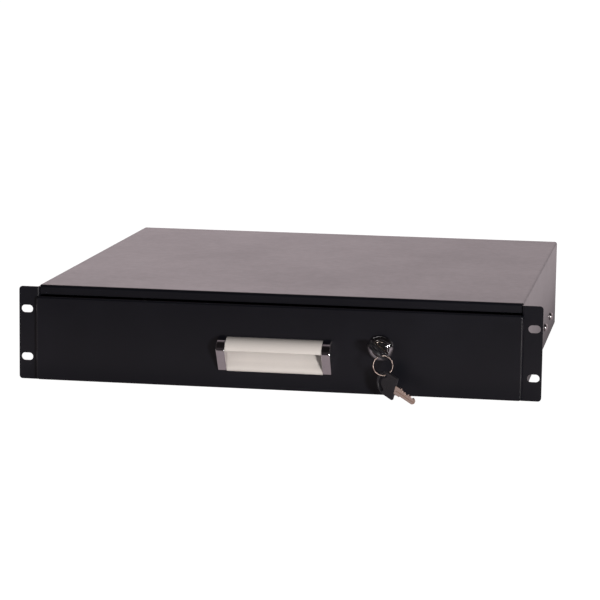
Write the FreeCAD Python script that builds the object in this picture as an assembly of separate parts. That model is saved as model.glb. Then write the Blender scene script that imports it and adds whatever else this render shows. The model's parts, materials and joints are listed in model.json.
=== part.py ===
import FreeCAD, Part
import math
import os
from FreeCAD import Placement, Rotation, Vector

# Sliding rack drawer, two rack units high.  Millimetres.
# X runs across the rack, Y towards the rear and Z up.  The origin is the middle of the
# four rack slots, in the rear face of the ears, which is the face that meets the rack.

# Rack interface
slot_spacing_x = 465.1
slot_spacing_z = 44.45
slot_length = 11.0
slot_width = 7.0
ear_margin = 7.45            # slot centre to the ear's outer edge
ear_inset = 10.3             # slot centre to the housing's side wall
ear_height = 86.0
ear_corner = 3.0

# Housing, folded from one sheet
housing_sheet = 1.5
housing_bend = 1.0           # inside radius of every fold
housing_depth = 426.0        # front of the ears to the back edge
top_rise = 1.5               # top face above the ears
lip_height = 8.5
lip_setback = 2.0            # front of the ears to the front of the lip
lip_side_gap = 0.25
corner_relief = 5.0          # length of the notch behind the ears, where three folds meet
flange_width = 12.0
rear_tab = 12.0
tie_width = 32.0
tie_inset = 34.0             # ends of the housing to the middle of a tie

# Drawer tray and drawer front
tray_sheet = 1.2
tray_bend = 1.0
tray_lift = 5.0              # base to the underside of the tray
tray_side = 66.0             # height of the side walls
tray_end = 58.0              # height of the front and back walls
tray_hem = 8.0
tray_back_gap = 19.0         # back of the tray to the housing's rear panel
front_sheet = 1.2
front_proud = 5.0            # front of the ears to the front of the drawer front
front_side_gap = 0.4         # between the drawer front and the flat of an ear
front_top_gap = 1.4          # between the drawer front and the lip
front_lift = 0.4             # base to the drawer front's lower edge
front_back_gap = 0.5         # between the drawer front's folded edge and the ears
front_corner = 3.0
front_round = 1.8

# Three-part ball slides
slide_thickness = 12.7
slide_height = 35.0
slide_sheet = 1.2
slide_base = 3.5             # base to the lower edge of a slide
slide_start = 9.5            # front of the ears to the front of the outer member
slide_rear_gap = 17.0
slide_step = 6.0             # how much shorter the middle member is
web_gap = 1.1                # between the webs of the outer and middle members
web_bend = 1.6
outer_ball_place = 5.0       # housing wall to the middle of the outer balls
ball_radius = 1.6
ball_play = 0.08
race_slope = 60.0            # slope of the wall between two races, in degrees
race_lip = 45.0
race_hook = 30.0
cage_sheet = 0.5
cage_bend = 1.0
cage_start = 100.0
cage_length = 200.0
cage_rise = 0.5              # how far the outer cage runs above the middle of its balls
cage_lean = 0.2              # how much nearer the outer member than the middle of the gap
cage_rim = 0.4
inner_cage_gap = 0.55        # between the webs of the middle member and the inner cage
inner_cage_shoulder = (2.9, 1.9)
inner_cage_step = 1.9
inner_cage_reach = 2.6
balls_per_row = 2
ball_bands = 6
prism_sides = 12

# Screws
screw_radius = 2.0
screw_play = 0.15
screw_end = 0.8              # how far a screw stands past the sheets it joins
head_radius = 4.0
head_height = 2.6
side_screw_places = (37.0, 274.5, 345.5)
tray_screw_places = (36.0, 356.0)

# Handle
grip_length = 88.0
cap_width = 8.0
handle_height = 31.2
handle_base = 16.8           # base of the housing to the lower edge of the handle
handle_depth = 15.0
handle_foot = 3.2            # depth of the handle at its lower edge
grip_wall = 2.0
grip_drop = 11.0             # top of the handle to the lower edge of the bar
lip_rise = 6.2               # height of the rounded lower lip of the grip
cap_overhang = 0.5           # how far the end caps stand past the grip's outline
cap_screw_depth = 7.0

# Cam lock
lock_x = 96.0
lock_height = 43.6           # base to the lock's axis
bezel_radius = 11.3
bezel_depth = 5.0
bezel_opening = 7.2
bezel_rim = 2.6              # straight edge of the bezel
bezel_flat = 1.2
bezel_bevel = 0.7
bezel_step = 1.0
bezel_dish = 0.9
barrel_radius = 9.4
barrel_length = 18.0         # behind the drawer front's face
barrel_flats = 16.6
barrel_play = 0.15
plug_radius = 5.9
plug_head_radius = 7.0
plug_head_depth = 2.4
plug_recess = 0.8
plug_play = 0.05
plug_bevel = 0.3
nut_width = 23.0
nut_height = 4.0
cam_sheet = 2.0
cam_width = 14.0
cam_reach = 40.0
cam_crank_start = 14.0
cam_crank_run = 9.0
cam_bend = 2.0
cam_hub_round = 6.86
cam_tip_round = 2.8
cam_lip_gap = 1.4            # between the lip and the turned cam
square_width = 7.0
square_play = 0.05
cam_screw_length = 5.0
turn_from_up = 52.3          # the lock's rest position, in degrees from cam upright

# Keys and ring
key_thickness = 2.0
key_width = 8.4
key_bitted_width = 6.2
key_shoulder = 6.0
key_length = 23.3
key_tang = 7.0
key_play = 0.2
key_groove = 0.5
key_groove_width = 1.2
key_groove_places = ((1, 0.9), (-1, -0.2))
key_groove_start = 1.5
key_tip = 2.0
key_step = 1.0
key_bites = ((9.0, 1.3), (12.4, 2.0), (15.6, 0.9), (18.8, 1.6))
bow_width = 22.5
bow_length = 22.0
bow_thickness = 2.6
bow_chamfer = 0.5
bow_slot_inner = 5.9
bow_slot_outer = 9.7
bow_slot_angle = 65.0
key_end_gap = 1.0            # past the blade's tip, inside the plug
key_neck = 4.2               # blade that shows between the plug and the bow
ring_radius = 8.75
ring_wire = 0.7              # half the width of the two turns together
ring_bevel = 0.3
ring_place = Vector(5.55, -17.53, -11.36)      # ring's middle from the root of the lock's key
ring_yaw = 15.6
ring_pitch = -8.7
spare_place = Vector(17.96, -24.37, -31.2)     # spare key's root from the root of the lock's key
spare_blade_direction = Vector(0.793, -0.4897, -0.3624)
spare_width_direction = Vector(-0.2468, 0.2857, -0.926)

past = 1.0                   # how far a cutting shape runs past the face it opens

# Places that follow from the sizes above
base_z = -ear_height / 2
ear_top_z = ear_height / 2
top_z = ear_top_z + top_rise
half_panel = slot_spacing_x / 2 + ear_margin
half_housing = slot_spacing_x / 2 - ear_inset
inner_wall = half_housing - housing_sheet
ear_front_y = -housing_sheet
housing_back_y = ear_front_y + housing_depth
relief_y = corner_relief
lip_front_y = ear_front_y + lip_setback

front_y = ear_front_y - front_proud
front_back_y = front_y + front_sheet
front_bottom_z = base_z + front_lift
front_top_z = top_z - lip_height - front_top_gap
half_front = half_housing + housing_bend - front_side_gap

tray_wall = inner_wall - slide_thickness
tray_bottom_z = base_z + tray_lift
tray_back_y = housing_back_y - housing_sheet - tray_back_gap
tray_front_inner_y = front_back_y + tray_sheet

slide_z = base_z + slide_base + slide_height / 2
slide_front_y = ear_front_y + slide_start
slide_back_y = housing_back_y - slide_rear_gap
race_radius = ball_radius + ball_play + slide_sheet / 2
outer_ball = (outer_ball_place, slide_height / 2 - slide_sheet / 2 - race_radius)
inner_ball = (
    outer_ball[0] + 2 * race_radius * math.sin(math.radians(race_slope)),
    outer_ball[1] - 2 * race_radius * math.cos(math.radians(race_slope)),
)

lock_z = base_z + lock_height
handle_z = base_z + handle_base


# General shapes

def unit(a, b):
    length = math.hypot(b[0] - a[0], b[1] - a[1])
    return ((b[0] - a[0]) / length, (b[1] - a[1]) / length)


def bend_at(before, corner, after, radius):
    """Tangent points, centre and turning sense of a bend of a given radius at a corner."""
    way_in = unit(before, corner)
    way_out = unit(corner, after)
    cross = way_in[0] * way_out[1] - way_in[1] * way_out[0]
    dot = way_in[0] * way_out[0] + way_in[1] * way_out[1]
    sense = 1 if cross > 0 else -1
    reach = radius * math.tan(abs(math.atan2(cross, dot)) / 2)
    start = (corner[0] - way_in[0] * reach, corner[1] - way_in[1] * reach)
    end = (corner[0] + way_out[0] * reach, corner[1] + way_out[1] * reach)
    centre = (start[0] - way_in[1] * sense * radius, start[1] + way_in[0] * sense * radius)
    return start, end, centre, sense, way_in, way_out


def flat(point):
    return Vector(point[0], point[1], 0)


def polar(centre, degrees, radius):
    angle = math.radians(degrees)
    return (centre[0] + radius * math.cos(angle), centre[1] + radius * math.sin(angle))


def add_line(edges, a, b):
    if (flat(a) - flat(b)).Length > 1e-6:
        edges.append(Part.LineSegment(flat(a), flat(b)).toShape())


def add_arc(edges, start, end, centre, corner, radius):
    way = unit(centre, corner)
    middle = (centre[0] + way[0] * radius, centre[1] + way[1] * radius)
    edges.append(Part.Arc(flat(start), flat(middle), flat(end)).toShape())


def closed_face(edges):
    return Part.Face(Part.Wire(Part.__sortEdges__(edges)))


def bent_sheet(points, radii, thickness):
    """Cross-section of a folded strip: corners of its middle line, and the radius of each fold."""
    edges = []
    ends = []
    for side in (1, -1):
        shift = side * thickness / 2
        first = unit(points[0], points[1])
        at = (points[0][0] - first[1] * shift, points[0][1] + first[0] * shift)
        ends.append(at)
        for i in range(1, len(points) - 1):
            bend = bend_at(points[i - 1], points[i], points[i + 1], radii[i - 1])
            start, end, centre, sense, way_in, way_out = bend
            begin = (start[0] - way_in[1] * shift, start[1] + way_in[0] * shift)
            finish = (end[0] - way_out[1] * shift, end[1] + way_out[0] * shift)
            add_line(edges, at, begin)
            add_arc(edges, begin, finish, centre, points[i], radii[i - 1] - sense * shift)
            at = finish
        last = unit(points[-2], points[-1])
        tip = (points[-1][0] - last[1] * shift, points[-1][1] + last[0] * shift)
        add_line(edges, at, tip)
        ends.append(tip)
    add_line(edges, ends[0], ends[2])
    add_line(edges, ends[1], ends[3])
    return closed_face(edges)


def rounded_face(corners):
    """Face inside a closed outline of (x, y, corner radius) points."""
    count = len(corners)
    bends = []
    for i in range(count):
        x, y, radius = corners[i]
        before = corners[i - 1]
        after = corners[(i + 1) % count]
        bends.append(bend_at(before, (x, y), after, radius))
    edges = []
    for i in range(count):
        start, end, centre = bends[i][:3]
        if corners[i][2] > 0:
            add_arc(edges, start, end, centre, corners[i], corners[i][2])
        add_line(edges, end, bends[(i + 1) % count][0])
    return closed_face(edges)


def along_x(face, start, end):
    """Extrude a (Y, Z) face along X."""
    solid = face.extrude(Vector(0, 0, end - start))
    solid.Placement = Placement(Vector(start, 0, 0), Rotation(Vector(1, 1, 1), 120))
    return solid


def along_y(face, start, end):
    """Extrude an (X, Z) face along Y."""
    solid = face.extrude(Vector(0, 0, end - start))
    solid.Placement = Placement(Vector(0, end, 0), Rotation(Vector(1, 0, 0), 90))
    return solid


def along_z(face, start, end):
    """Extrude an (X, Y) face along Z."""
    solid = face.extrude(Vector(0, 0, end - start))
    solid.Placement = Placement(Vector(0, 0, start), Rotation())
    return solid


def block(x0, x1, y0, y1, z0, z1):
    return Part.makeBox(x1 - x0, y1 - y0, z1 - z0, Vector(x0, y0, z0))


def rod_y(radius, x, z, start, end):
    return Part.makeCylinder(radius, end - start, Vector(x, start, z), Vector(0, 1, 0))


def rod_x(radius, y, z, start, end):
    return Part.makeCylinder(radius, end - start, Vector(start, y, z), Vector(1, 0, 0))


def prism(radius, start, end):
    """Many-sided prism about Z, with its corners on the given radius."""
    points = [flat(polar((0, 0), 360 * i / prism_sides, radius)) for i in range(prism_sides + 1)]
    return along_z(Part.Face(Part.makePolygon(points)), start, end)


def turned_y(profile, x, z):
    """Revolve a closed (radius, Y, corner radius) profile about the line along Y at x, z."""
    solid = rounded_face(profile).revolve(Vector(0, 0, 0), Vector(0, 1, 0), 360)
    solid = Part.makeSolid(solid.Shells[0])
    solid.translate(Vector(x, 0, z))
    return solid


def united(solids):
    return solids[0].multiFuse(solids[1:]).removeSplitter()


def opposite(solid):
    return solid.mirror(Vector(0, 0, 0), Vector(1, 0, 0))


def save(name, *solids):
    shape = solids[0] if len(solids) == 1 else Part.makeCompound(list(solids))
    shape.exportStep("parts/" + name + ".step")


# Housing

def ear(side):
    """One ear with the strip of side wall that it is folded from."""
    middle = housing_sheet / 2
    wall = half_housing - middle
    path = [(side * wall, relief_y), (side * wall, -middle), (side * half_panel, -middle)]
    fold = bent_sheet(path, [housing_bend + middle], housing_sheet)
    solid = along_z(fold, base_z, ear_top_z)
    outer = [e for e in solid.Edges if upright_to_ear(e, side)]
    return solid.makeFillet(ear_corner, outer)


def upright_to_ear(edge, side):
    middle = edge.CenterOfMass
    spans_sheet = abs(edge.Length - housing_sheet) < 1e-6
    return spans_sheet and abs(middle.x - side * half_panel) < 1e-6


def rack_slot(x, z):
    run = (slot_length - slot_width) / 2
    radius = slot_width / 2
    ends = [rod_y(radius, x + s * run, z, ear_front_y - past, past) for s in (-1, 1)]
    return united(ends + [block(x - run, x + run, ear_front_y - past, past, z - radius, z + radius)])


def side_holes(places, radius, start, end):
    """Round holes at the slides' height through the walls of both sides."""
    holes = []
    for y in places:
        holes.append(rod_x(radius, y, slide_z, start, end))
        holes.append(rod_x(radius, y, slide_z, -end, -start))
    return holes


def housing():
    middle = housing_sheet / 2
    wall = half_housing - middle
    floor = base_z + middle
    roof = top_z - middle
    fold = housing_bend + middle
    edge = half_housing - flange_width
    path = [(-edge, floor), (-wall, floor), (-wall, roof), (wall, roof), (wall, floor), (edge, floor)]
    shell = along_y(bent_sheet(path, [fold] * 4, housing_sheet), relief_y, housing_back_y)
    lip = [(relief_y, roof), (lip_front_y + middle, roof), (lip_front_y + middle, lip_flat_z())]
    front_fold = along_x(bent_sheet(lip, [fold], housing_sheet), -lip_reach(), lip_reach())
    solid = united([shell, front_fold, ear(1), ear(-1)])
    cuts = [rack_slot(x * slot_spacing_x / 2, z * slot_spacing_z / 2) for x in (-1, 1) for z in (-1, 1)]
    cuts += side_holes(side_screw_places, screw_radius + screw_play, inner_wall - past, half_housing + past)
    return solid.cut(cuts)


def lip_reach():
    return inner_wall - lip_side_gap


def lip_flat_z():
    """Height at which the fold at the front of the top ends and the flat of the lip begins."""
    return top_z - housing_sheet - housing_bend


def front_lip():
    """Flat of the lip, which hangs from the fold at the front of the top."""
    back = lip_front_y + housing_sheet
    return block(-lip_reach(), lip_reach(), lip_front_y, back, top_z - lip_height, lip_flat_z())


def rear_panel():
    """Back wall: a shallow channel welded between the side walls."""
    middle = housing_sheet / 2
    wall = inner_wall - middle
    back = housing_back_y - middle
    front = housing_back_y - rear_tab
    path = [(-wall, front), (-wall, back), (wall, back), (wall, front)]
    face = bent_sheet(path, [housing_bend + middle] * 2, housing_sheet)
    margin = housing_sheet + housing_bend
    return along_z(face, base_z + margin, top_z - margin)


def base_tie(y):
    """Flat strip welded on the base flanges of both sides."""
    reach = inner_wall - housing_bend
    z = base_z + housing_sheet
    return block(-reach, reach, y - tie_width / 2, y + tie_width / 2, z, z + housing_sheet)


# Ball slides.  Their sections are drawn on the right-hand side, in distance from the
# housing wall and height from the slide's middle, and the left one is the mirror image.

def race_corner(centre, start, end):
    """Corner of the middle line whose fold wraps a race about a ball, between two angles."""
    half_turn = math.radians(start - end) / 2
    return polar(centre, (start + end) / 2, race_radius / math.cos(half_turn))


def channel_section(upper, radii, thickness):
    """Section that is the same above and below the middle line of the slide."""
    lower = [(u, -w) for u, w in reversed(upper)]
    path = [(inner_wall - u, slide_z + w) for u, w in lower + upper]
    return bent_sheet(path, list(reversed(radii)) + radii, thickness)


def outer_slope_foot():
    """Height at which the outer member's web turns into the slope of its race."""
    touch = polar(outer_ball, 90 + race_slope, race_radius)
    return touch[1] - (touch[0] - slide_sheet / 2) * math.tan(math.radians(race_slope))


def slide_outer():
    web = slide_sheet / 2
    slope_top = 90 + race_slope
    upper = [
        (web, outer_slope_foot()),
        race_corner(outer_ball, slope_top, race_lip),
        polar(outer_ball, race_lip, race_radius),
    ]
    face = channel_section(upper, [web_bend, race_radius], slide_sheet)
    solid = along_y(face, slide_front_y, slide_back_y)
    holes = side_holes(side_screw_places, screw_radius + screw_play, tray_wall, inner_wall + past)
    return solid.cut(holes)


def slide_middle():
    web = slide_sheet + web_gap + slide_sheet / 2
    floor = outer_ball[1] - race_radius
    groove = race_radius * math.tan(math.radians(race_slope / 2))
    upper = [
        (web, floor),
        (outer_ball[0] + groove, floor),
        race_corner(inner_ball, 90 + race_slope, race_hook),
        polar(inner_ball, race_hook, race_radius),
    ]
    face = channel_section(upper, [web_bend, race_radius, race_radius], slide_sheet)
    return along_y(face, slide_front_y, slide_back_y - slide_step)


def slide_inner():
    web = slide_thickness - slide_sheet / 2
    floor = inner_ball[1] - race_radius
    groove = race_radius * math.tan(math.radians(race_hook / 2))
    upper = [
        (web, floor),
        (inner_ball[0] - groove, floor),
        polar(inner_ball, 270 - race_hook, race_radius),
    ]
    face = channel_section(upper, [web_bend, race_radius], slide_sheet)
    solid = along_y(face, slide_front_y, slide_back_y)
    return solid.cut(side_holes(tray_screw_places, screw_radius + screw_play, tray_wall - past, inner_wall))


def ball_places(centre):
    """Middles of the balls in the upper and lower rows about one pair of races."""
    pitch = cage_length / balls_per_row
    places = []
    for i in range(balls_per_row):
        y = cage_start + pitch * (i + 0.5)
        for row in (1, -1):
            places.append(Vector(inner_wall - centre[0], y, slide_z + row * centre[1]))
    return places


def ball(place):
    """Ball with flat facets between its bands, and its poles along the slide."""
    rings = []
    for band in range(ball_bands + 1):
        away, out = polar((0, 0), 180 * band / ball_bands, ball_radius)
        turn = [polar((0, 0), 360 * i / prism_sides, out) for i in range(prism_sides + 1)]
        rings.append([place + Vector(x, away, z) for x, z in turn])
    faces = []
    for band in range(ball_bands):
        for i in range(prism_sides):
            corners = [rings[band][i], rings[band][i + 1], rings[band + 1][i + 1], rings[band + 1][i]]
            if band == 0:
                corners.pop(1)
            if band == ball_bands - 1:
                corners.pop(3)
            faces.append(Part.Face(Part.makePolygon(corners + corners[:1])))
    return Part.makeSolid(Part.makeShell(faces))


def balls(centre):
    return [ball(place) for place in ball_places(centre)]


def cage(upper, radii, centre):
    """Folded strip that spaces the balls, with a square window for each."""
    strip = along_y(channel_section(upper, radii, cage_sheet), cage_start, cage_start + cage_length)
    pockets = []
    for place in ball_places(centre):
        half = ball_radius + ball_play
        corner = place - Vector(half, half, 2 * half)
        pockets.append(Part.makeBox(2 * half, 2 * half, 4 * half, corner))
    return strip.cut(pockets)


def outer_cage():
    web = slide_sheet + web_gap / 2
    offset = (slide_sheet + web_gap + cage_sheet) / 2 - cage_lean
    slope = math.radians(race_slope)
    foot_u = slide_sheet / 2 + offset * math.sin(slope)
    foot_w = outer_slope_foot() - offset * math.cos(slope)
    level = outer_ball[1] + cage_rise
    upper = [
        (web, foot_w + (web - foot_u) * math.tan(slope)),
        (foot_u + (level - foot_w) / math.tan(slope), level),
        (outer_ball[0] + ball_radius + cage_rim, level),
    ]
    return cage(upper, [cage_bend, cage_bend], outer_ball)


def inner_cage():
    web = 2 * slide_sheet + web_gap + inner_cage_gap + cage_sheet / 2
    before, below = inner_cage_shoulder
    upper = [
        (web, inner_ball[1] - before),
        (inner_ball[0] - before, inner_ball[1] - below),
        (inner_ball[0] - inner_cage_step, inner_ball[1]),
        (inner_ball[0] + inner_cage_reach, inner_ball[1]),
    ]
    return cage(upper, [cage_bend, cage_bend, cage_bend / 2], inner_ball)


def placed_screw(solid, seat, way):
    solid = solid.copy()
    solid.Placement = Placement(seat, Rotation(Vector(0, 0, 1), way))
    return solid


# Drawer

def tray_fold():
    """Size of a fold, from the sheet's outer face to where the next flat begins."""
    return tray_bend + tray_sheet


def tray_rim_z():
    return tray_bottom_z + tray_side


def tray():
    """Floor of the tray, with the folds at its four edges."""
    middle = tray_sheet / 2
    wall = tray_wall - middle
    floor = tray_bottom_z + middle
    folds = [tray_bend + middle] * 2
    flat_z = tray_bottom_z + tray_fold()
    sides = bent_sheet([(-wall, flat_z), (-wall, floor), (wall, floor), (wall, flat_z)], folds, tray_sheet)
    trough = along_y(sides, front_back_y + tray_fold(), tray_back_y - tray_fold())
    front = front_back_y + middle
    back = tray_back_y - middle
    ends = bent_sheet([(front, flat_z), (front, floor), (back, floor), (back, flat_z)], folds, tray_sheet)
    reach = tray_wall - tray_fold()
    return united([trough, along_x(ends, -reach, reach)])


def tray_side_flat():
    """Flat of the right side wall, with the holes for the slide's screws."""
    inside = tray_wall - tray_sheet
    flat_wall = block(inside, tray_wall, front_back_y + tray_fold(), tray_back_y - tray_fold(),
                      tray_bottom_z + tray_fold(), tray_rim_z() - tray_fold())
    holes = side_holes(tray_screw_places, screw_radius + screw_play, inside - past, tray_wall + past)
    return flat_wall.cut(holes)


def tray_hem_flat():
    """Flat of the right hem, which runs inwards from the fold at the top of the wall."""
    return block(tray_wall - tray_hem, tray_wall - tray_fold(), front_back_y + tray_fold(),
                 tray_back_y - tray_fold(), tray_rim_z() - tray_sheet, tray_rim_z())


def tray_hem_fold():
    """Fold between the right wall and its hem."""
    middle = tray_sheet / 2
    wall = tray_wall - middle
    rim = tray_rim_z() - middle
    path = [(wall, tray_rim_z() - tray_fold()), (wall, rim), (tray_wall - tray_fold(), rim)]
    section = bent_sheet(path, [tray_bend + middle], tray_sheet)
    return along_y(section, front_back_y + tray_fold(), tray_back_y - tray_fold())


def tray_end_flat(outer, inner):
    """Flat of the front or rear end, from its outer face to its inner face."""
    reach = tray_wall - tray_fold()
    low, high = sorted([outer, inner])
    return block(-reach, reach, low, high, tray_bottom_z + tray_fold(), tray_bottom_z + tray_end)


def tray_front_flat():
    flat_end = tray_end_flat(front_back_y, tray_front_inner_y)
    return flat_end.cut(front_openings(front_back_y - past, tray_front_inner_y + past))


def front_openings(start, end):
    """Holes for the lock and the handle's screws."""
    hole = rod_y(barrel_radius + barrel_play, lock_x, lock_z, start, end)
    flats = barrel_flats / 2 + barrel_play
    wide = 2 * barrel_radius
    band = block(lock_x - wide, lock_x + wide, start, end, lock_z - flats, lock_z + flats)
    screws = [rod_y(screw_radius + screw_play, x, handle_screw_z(), start, end) for x in handle_screw_xs()]
    return [hole.common(band)] + screws


def drawer_front():
    """Shallow pan with all four edges folded back."""
    depth = ear_front_y - front_back_gap - front_y
    outer = block(-half_front, half_front, front_y, front_y + depth, front_bottom_z, front_top_z)
    outer = outer.makeFillet(front_corner, [e for e in outer.Edges if abs(e.Length - depth) < 1e-6])
    rim = [e for e in outer.Edges if abs(e.CenterOfMass.y - front_y) < 1e-6]
    outer = outer.makeFillet(front_round, rim)
    deep = depth + past - front_sheet
    inside = block(front_sheet - half_front, half_front - front_sheet, front_back_y, front_back_y + deep,
                   front_bottom_z + front_sheet, front_top_z - front_sheet)
    inner_corner = front_corner - front_sheet
    inside = inside.makeFillet(inner_corner, [e for e in inside.Edges if abs(e.Length - deep) < 1e-6])
    return outer.cut([inside] + front_openings(front_y - past, front_back_y + past))


# Handle

def handle_screw_xs():
    place = (grip_length + cap_width) / 2
    return (-place, place)


def handle_screw_z():
    return handle_z + handle_height / 2


def quarter_ellipse(edges, flat_end, upright_end):
    """Quarter of an ellipse, level where it starts and upright where it ends."""
    across = abs(flat_end[0] - upright_end[0])
    high = abs(flat_end[1] - upright_end[1])
    centre = Vector(flat_end[0], upright_end[1], 0)
    if across >= high:
        ellipse = Part.Ellipse(centre, across, high)
    else:
        ellipse = Part.Ellipse(centre + Vector(0, high, 0), centre + Vector(across, 0, 0), centre)
    limits = sorted(ellipse.parameter(flat(point)) for point in (flat_end, upright_end))
    if limits[1] - limits[0] > math.pi:
        limits = [limits[1] - 2 * math.pi, limits[0]]
    edges.append(Part.ArcOfEllipse(ellipse, *limits).toShape())


def grip():
    """Aluminium profile: a curved bar above, a back plate, and a rounded lip below."""
    face = front_y
    top = handle_z + handle_height
    bar = face - handle_depth
    drop = top - grip_drop
    plate = face - grip_wall
    lip = face - handle_foot - cap_overhang
    lip_top = handle_z + lip_rise
    edges = []
    quarter_ellipse(edges, (face, top), (bar, drop))
    add_line(edges, (bar, drop), (bar + grip_wall, drop))
    inner_top = (plate, top - grip_wall)
    quarter_ellipse(edges, inner_top, (bar + grip_wall, drop))
    add_line(edges, inner_top, (plate, lip_top))
    quarter_ellipse(edges, (plate, lip_top), (lip, handle_z + lip_rise / 2))
    quarter_ellipse(edges, (plate, handle_z), (lip, handle_z + lip_rise / 2))
    add_line(edges, (plate, handle_z), (face, handle_z))
    add_line(edges, (face, handle_z), (face, top))
    return along_x(closed_face(edges), -grip_length / 2, grip_length / 2)


def end_cap(side):
    """Wedge that closes one end of the grip, curved above and flat below."""
    face = front_y
    top = handle_z + handle_height + cap_overhang
    bar = face - handle_depth - cap_overhang
    drop = handle_z + handle_height - grip_drop
    foot = face - handle_foot
    low = handle_z + cap_overhang
    edges = []
    quarter_ellipse(edges, (face, top), (bar, drop))
    add_line(edges, (bar, drop), (foot, low))
    add_line(edges, (foot, low), (face, low))
    add_line(edges, (face, low), (face, top))
    x = side * grip_length / 2
    start, end = sorted((x, x + side * cap_width))
    solid = along_x(closed_face(edges), start, end)
    hole_x = handle_screw_xs()[0 if side < 0 else 1]
    deepest = face - cap_screw_depth - past
    return solid.cut(rod_y(screw_radius + screw_play, hole_x, handle_screw_z(), deepest, face))


def pan_screw(length):
    """Screw with its shank down from the origin and its head above, both with flat-sided outlines."""
    head = prism(head_radius, 0, head_height)
    return head.fuse(prism(screw_radius, -length, 0)).removeSplitter()


# Lock

def lock_body():
    back = front_y + barrel_length
    face = front_y - bezel_depth
    counterbore = face + plug_recess + plug_head_depth
    bore = plug_radius + plug_play
    profile = [
        (bore, back, 0), (barrel_radius, back, 0), (barrel_radius, front_y, 0), (bezel_radius, front_y, 0),
        (bezel_radius, front_y - bezel_rim, 0), (bezel_radius - bezel_bevel, face + bezel_step, 0),
        (bezel_opening + bezel_flat, face, 0),
        (bezel_opening, face + bezel_dish, 0), (bezel_opening, counterbore, 0), (bore, counterbore, 0),
    ]
    solid = turned_y(profile, lock_x, lock_z)
    flats = []
    wide = 2 * barrel_radius
    for sign in (1, -1):
        z0, z1 = sorted((lock_z + sign * barrel_flats / 2, lock_z + sign * wide))
        flats.append(block(lock_x - wide, lock_x + wide, front_y, back + past, z0, z1))
    return solid.cut(flats)


def lock_nut():
    start = tray_front_inner_y
    corner = nut_width / 2 / math.cos(math.radians(30))
    points = [Vector(lock_x + corner * math.cos(math.radians(60 * i)), start,
                     lock_z + corner * math.sin(math.radians(60 * i))) for i in range(7)]
    prism = Part.Face(Part.makePolygon(points)).extrude(Vector(0, nut_height, 0))
    bore = rod_y(barrel_radius + barrel_play, lock_x, lock_z, start - past, start + nut_height + past)
    return prism.cut(bore)


def turned_with_plug(solid, angle):
    solid = solid.copy()
    solid.rotate(Vector(lock_x, 0, lock_z), Vector(0, 1, 0), angle)
    return solid


def cam_back_y():
    return front_y + barrel_length + plug_play + cam_sheet


def lock_plug():
    """Plug with a key slot and a square tail for the cam; drawn with the slot upright."""
    face = front_y - bezel_depth + plug_recess
    shoulder = face + plug_head_depth - plug_play
    back = front_y + barrel_length + plug_play
    profile = [
        (0, back, 0), (plug_radius, back, 0), (plug_radius, shoulder, 0), (plug_head_radius, shoulder, 0),
        (plug_head_radius, face + plug_bevel, 0), (plug_head_radius - plug_bevel, face, 0), (0, face, 0),
    ]
    body = turned_y(profile, lock_x, lock_z)
    half = square_width / 2 - square_play
    tail = block(lock_x - half, lock_x + half, back - past, cam_back_y(), lock_z - half, lock_z + half)
    slot_half = key_thickness / 2 + key_play
    deep = face + key_length - key_neck + key_end_gap
    high = key_width / 2 + key_play
    slot = block(lock_x - slot_half, lock_x + slot_half, face - past, deep, lock_z - high, lock_z + high)
    tapping = rod_y(screw_radius + screw_play, lock_x, lock_z, back - cam_screw_length, cam_back_y())
    return turned_with_plug(united([body, tail]).cut([slot, tapping]), -turn_from_up)


def lock_cam():
    """Cranked arm that turns up behind the lip; drawn upright."""
    hub = front_y + barrel_length + plug_play + cam_sheet / 2
    tip = lip_front_y + housing_sheet + cam_lip_gap + cam_sheet / 2
    path = [
        (hub, lock_z - cam_width / 2), (hub, lock_z + cam_crank_start),
        (tip, lock_z + cam_crank_start + cam_crank_run), (tip, lock_z + cam_reach),
    ]
    left = lock_x - cam_width / 2
    right = lock_x + cam_width / 2
    arm = along_x(bent_sheet(path, [cam_bend, cam_bend], cam_sheet), left, right)
    span = rounded_face([
        (left, lock_z - cam_width / 2, cam_hub_round), (right, lock_z - cam_width / 2, cam_hub_round),
        (right, lock_z + cam_reach, cam_tip_round), (left, lock_z + cam_reach, cam_tip_round),
    ])
    arm = arm.common(along_y(span, 0, hub + cam_sheet))
    half = square_width / 2
    hole = block(lock_x - half, lock_x + half, hub - cam_sheet, hub + cam_sheet, lock_z - half, lock_z + half)
    return turned_with_plug(arm.cut(hole), -turn_from_up)


def cam_screw():
    return placed_screw(pan_screw(cam_screw_length), Vector(lock_x, cam_back_y(), lock_z), Vector(0, 1, 0))


# Keys, drawn with the blade along +X from its root, the width along Y

def key_blade():
    half = key_width / 2
    low = key_bitted_width / 2
    step_end = key_shoulder + key_step
    points = [(-key_tang, -low), (0, -low), (0, -half), (key_shoulder, -half), (step_end, -low)]
    for place, depth in key_bites:
        points += [(place - depth, -low), (place, depth - low), (place + depth, -low)]
    tip = key_length - key_tip
    points += [(tip, -low), (key_length, -low / 2), (key_length, low / 2), (tip, low)]
    points += [(step_end, low), (key_shoulder, half), (0, half), (0, low), (-key_tang, low)]
    outline = Part.makePolygon([Vector(x, y, -key_thickness / 2) for x, y in points + points[:1]])
    blade = Part.Face(outline).extrude(Vector(0, 0, key_thickness))
    cuts = []
    for side, middle in key_groove_places:
        z0, z1 = sorted((side * key_thickness, side * (key_thickness / 2 - key_groove)))
        y0 = middle - key_groove_width / 2
        cuts.append(block(key_groove_start, key_length + key_tip, y0, y0 + key_groove_width, z0, z1))
    return blade.cut(cuts)


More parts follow.
